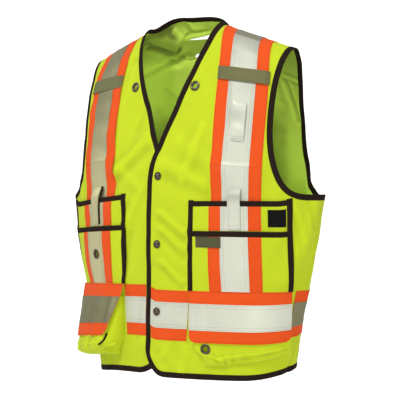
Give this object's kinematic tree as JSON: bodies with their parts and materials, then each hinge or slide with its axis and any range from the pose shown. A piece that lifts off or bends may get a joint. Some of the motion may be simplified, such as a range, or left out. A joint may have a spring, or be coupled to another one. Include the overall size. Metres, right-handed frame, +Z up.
{
  "type": "safety_vest",
  "caption": "High-visibility surveyor safety vest with a V neck, snap front, silver and orange marking tape, layered chest pockets and flapped cargo pockets",
  "frame": {"origin": "midway between the neck points at shoulder height, where the vest rests on the wearer's shoulders", "axes": "+Z up along the wearer's trunk, -Y to the front, +X to the wearer's left"},
  "size_m": [0.616, 0.2952, 0.7467],
  "materials": {
    "lime": "fluorescent woven polyester, matt",
    "orange": "fluorescent woven tape, matt",
    "silver": "retroreflective bead tape, satin",
    "binding": "dark brown braid, matt",
    "webbing": "olive webbing, matt",
    "metal": "dark oxide, satin",
    "black": "plain sewn patch, matt",
    "olive": "plain sewn patch, matt"
  },
  "bodies": {
    "root": {"front_panel_left": "lime", "front_panel_right": "lime", "chest_pocket_back_layer_left": "lime", "chest_pocket_back_layer_right": "lime", "chest_pocket_front_layer_left": "lime", "chest_pocket_front_layer_right": "lime", "cargo_pocket_left": "lime", "cargo_pocket_right": "lime", "cargo_flap_left": "lime", "cargo_flap_right": "lime", "back_panel": "lime", "back_slot_strip": "lime", "shoulder_tape_orange_left": "orange", "shoulder_tape_orange_right": "orange", "waist_band_orange_front_left": "orange", "waist_band_orange_front_right": "orange", "pocket_tape_orange_upper_left": "orange", "pocket_tape_orange_upper_right": "orange", "pocket_tape_orange_lower_left": "orange", "pocket_tape_orange_lower_right": "orange", "cargo_flap_orange_left": "orange", "cargo_flap_orange_right": "orange", "waist_band_orange_around": "orange", "shoulder_tape_silver_left": "silver", "shoulder_tape_silver_right": "silver", "waist_band_silver_front_left": "silver", "waist_band_silver_front_right": "silver", "pocket_tape_silver_upper_left": "silver", "pocket_tape_silver_upper_right": "silver", "pocket_tape_silver_lower_left": "silver", "pocket_tape_silver_lower_right": "silver", "cargo_flap_silver_left": "silver", "cargo_flap_silver_right": "silver", "pocket_strap_left": "silver", "pocket_strap_right": "silver", "waist_band_silver_around": "silver", "chest_loop_left": "silver", "armhole_binding_left": "binding", "armhole_binding_right": "binding", "pocket_binding_top_left": "binding", "pocket_binding_top_right": "binding", "pocket_binding_front_left": "binding", "pocket_binding_front_right": "binding", "pocket_binding_inner_left": "binding", "pocket_binding_inner_right": "binding", "pocket_binding_outer_left": "binding", "pocket_binding_outer_right": "binding", "neck_front_binding": "binding", "hem_binding": "binding", "mic_tab_left": "webbing", "mic_tab_right": "webbing", "neck_eyelet_left": "metal", "neck_eyelet_right": "metal", "pocket_eyelet_right": "metal", "cargo_eyelet_left": "metal", "snap_upper": "metal", "snap_middle": "metal", "snap_lower": "metal", "chest_patch": "black", "pocket_patch": "olive"}
  },
  "joints": []
}
